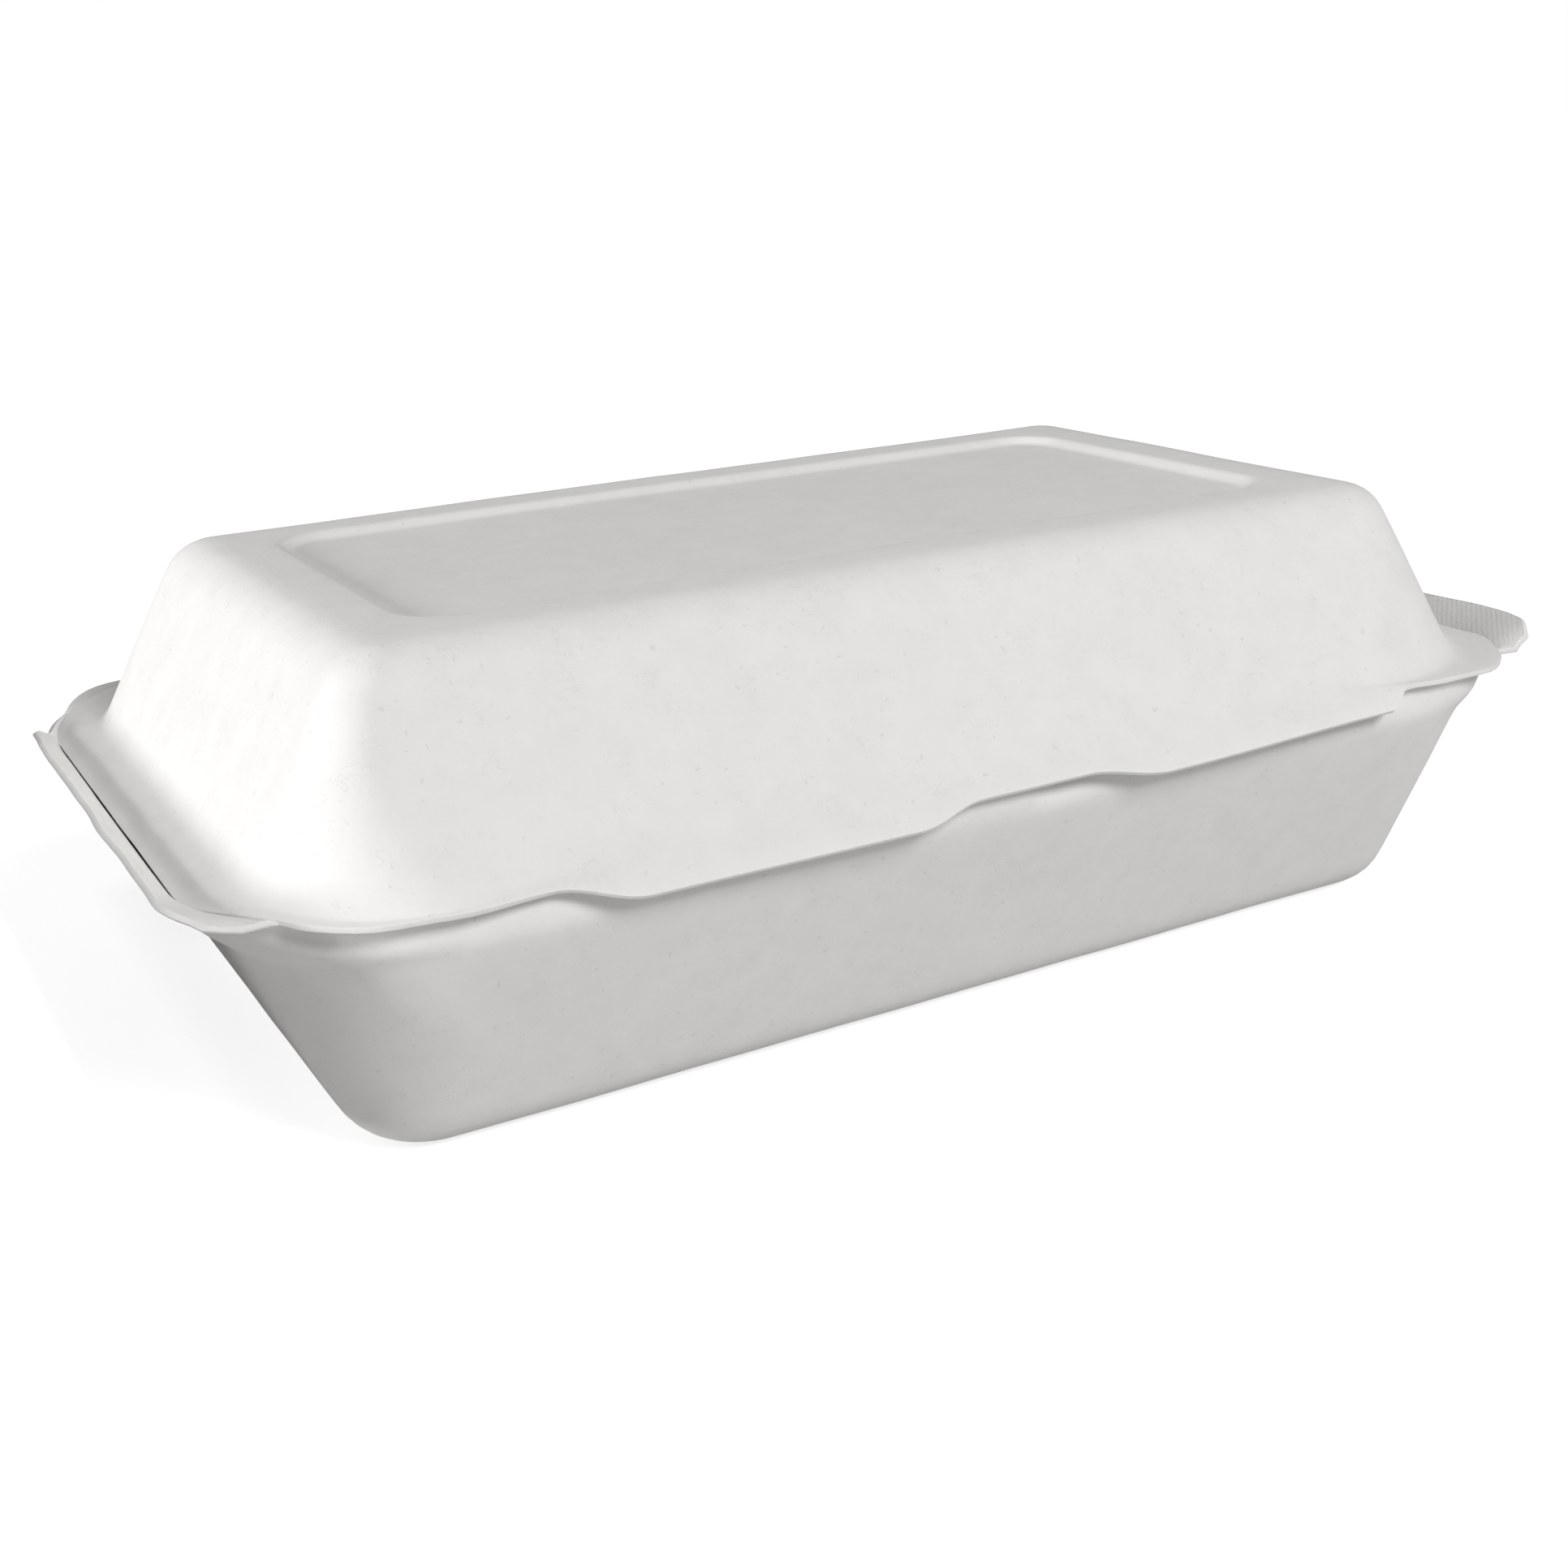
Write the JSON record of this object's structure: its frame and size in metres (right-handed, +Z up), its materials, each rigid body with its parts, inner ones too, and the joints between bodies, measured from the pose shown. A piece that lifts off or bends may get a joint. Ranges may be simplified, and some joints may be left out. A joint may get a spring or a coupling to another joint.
{
  "type": "hinged compartment food container",
  "caption": "Closed oblong food box of moulded plant fibre: divided tray with flared rim, fold-over lid with sunk top and wavy front flange.",
  "frame": {"origin": "on the table, under the middle of the closed box", "axes": "+X along the length, +Y across towards the fold, +Z up"},
  "size_m": [0.2306, 0.1413, 0.0692],
  "materials": {
    "pulp": "matte pressed fibre"
  },
  "bodies": {
    "tray": {"tray": "pulp"},
    "lid": {"lid": "pulp"}
  },
  "joints": [
    {"name": "lid_fold", "type": "hinge", "parent": "tray", "child": "lid", "pos_m": [0, 0.07018, 0.04055], "axis": [-1, 0, 0], "range_deg": [0, 180]}
  ]
}
